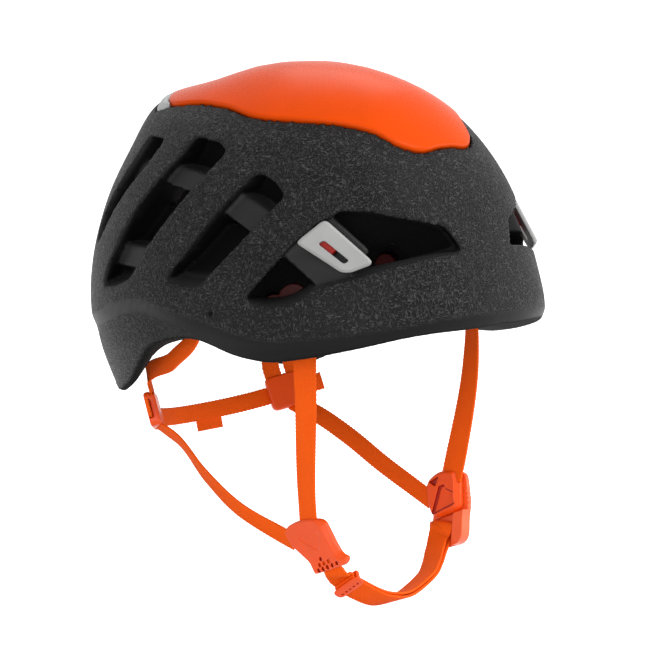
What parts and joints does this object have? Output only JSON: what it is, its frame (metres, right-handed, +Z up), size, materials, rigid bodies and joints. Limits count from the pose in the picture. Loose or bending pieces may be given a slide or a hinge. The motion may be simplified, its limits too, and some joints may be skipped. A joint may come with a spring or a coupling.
{
  "type": "climbing helmet",
  "caption": "Vented foam climbing helmet with an inset crown cap, headlamp hooks on the brow and a webbing chin harness closed by a magnetic buckle.",
  "frame": {"origin": "middle of the head opening, level with the front rim", "axes": "+Z up through the crown, -Y to the wearer's front, +X to the wearer's left"},
  "size_m": [0.2192, 0.2719, 0.2966],
  "materials": {
    "foam": "moulded expanded foam, matte",
    "core_foam": "expanded foam, matte",
    "cap": "satin",
    "trim": "satin",
    "hook_plastic": "satin",
    "coral_plastic": "satin",
    "peach_plastic": "satin",
    "webbing": "woven",
    "magnet": "plated",
    "pad": "brushed cloth over foam"
  },
  "bodies": {
    "helmet": {"buckle_strap_half": "coral_plastic", "chin_strap": "webbing", "crown_cap": "cap", "crown_core": "core_foam", "foam_shell": "foam", "front_anchor_left": "coral_plastic", "front_anchor_right": "coral_plastic", "front_strap_left": "webbing", "front_strap_right": "webbing", "hook_foot_left": "coral_plastic", "hook_foot_right": "coral_plastic", "hook_left": "hook_plastic", "hook_right": "hook_plastic", "nape_strap": "webbing", "nape_tab": "webbing", "pad_crown": "pad", "pad_front": "pad", "pad_rear": "pad", "rear_chin_strap_left": "webbing", "rear_chin_strap_right": "webbing", "rear_trim": "trim", "riser_anchor_left": "coral_plastic", "riser_anchor_right": "coral_plastic", "riser_strap_left": "webbing", "riser_strap_right": "webbing", "stay_anchor_left": "coral_plastic", "stay_anchor_right": "coral_plastic", "stay_strap_left": "webbing", "stay_strap_right": "webbing", "strap_divider": "coral_plastic", "strap_half_magnet": "magnet"},
    "buckle_chin": {"buckle_chin_half": "peach_plastic", "chin_half_magnet": "magnet"},
    "keeper": {"strap_keeper": "coral_plastic"},
    "slider_right": {"nape_slider_right": "coral_plastic"},
    "slider_left": {"nape_slider_left": "coral_plastic"}
  },
  "joints": [
    {"name": "buckle_release", "type": "slide", "parent": "helmet", "child": "buckle_chin", "axis": [0.0147, -0.7956, -0.6057], "range_m": [0, 0.015], "deforming": ["chin_strap"]},
    {"name": "keeper_slide", "type": "slide", "parent": "helmet", "child": "keeper", "axis": [0.8571, -0.132, -0.498], "range_m": [-0.002, 0.008]},
    {"name": "nape_slider_right", "type": "slide", "parent": "helmet", "child": "slider_right", "axis": [-0.7753, -0.5798, 0.2506], "range_m": [-0.006, 0.006], "deforming": ["riser_strap_right", "stay_strap_right", "rear_chin_strap_right"]},
    {"name": "nape_slider_left", "type": "slide", "parent": "helmet", "child": "slider_left", "axis": [0.7753, -0.5798, 0.2506], "range_m": [-0.006, 0.006], "deforming": ["riser_strap_left", "stay_strap_left", "rear_chin_strap_left"]}
  ]
}
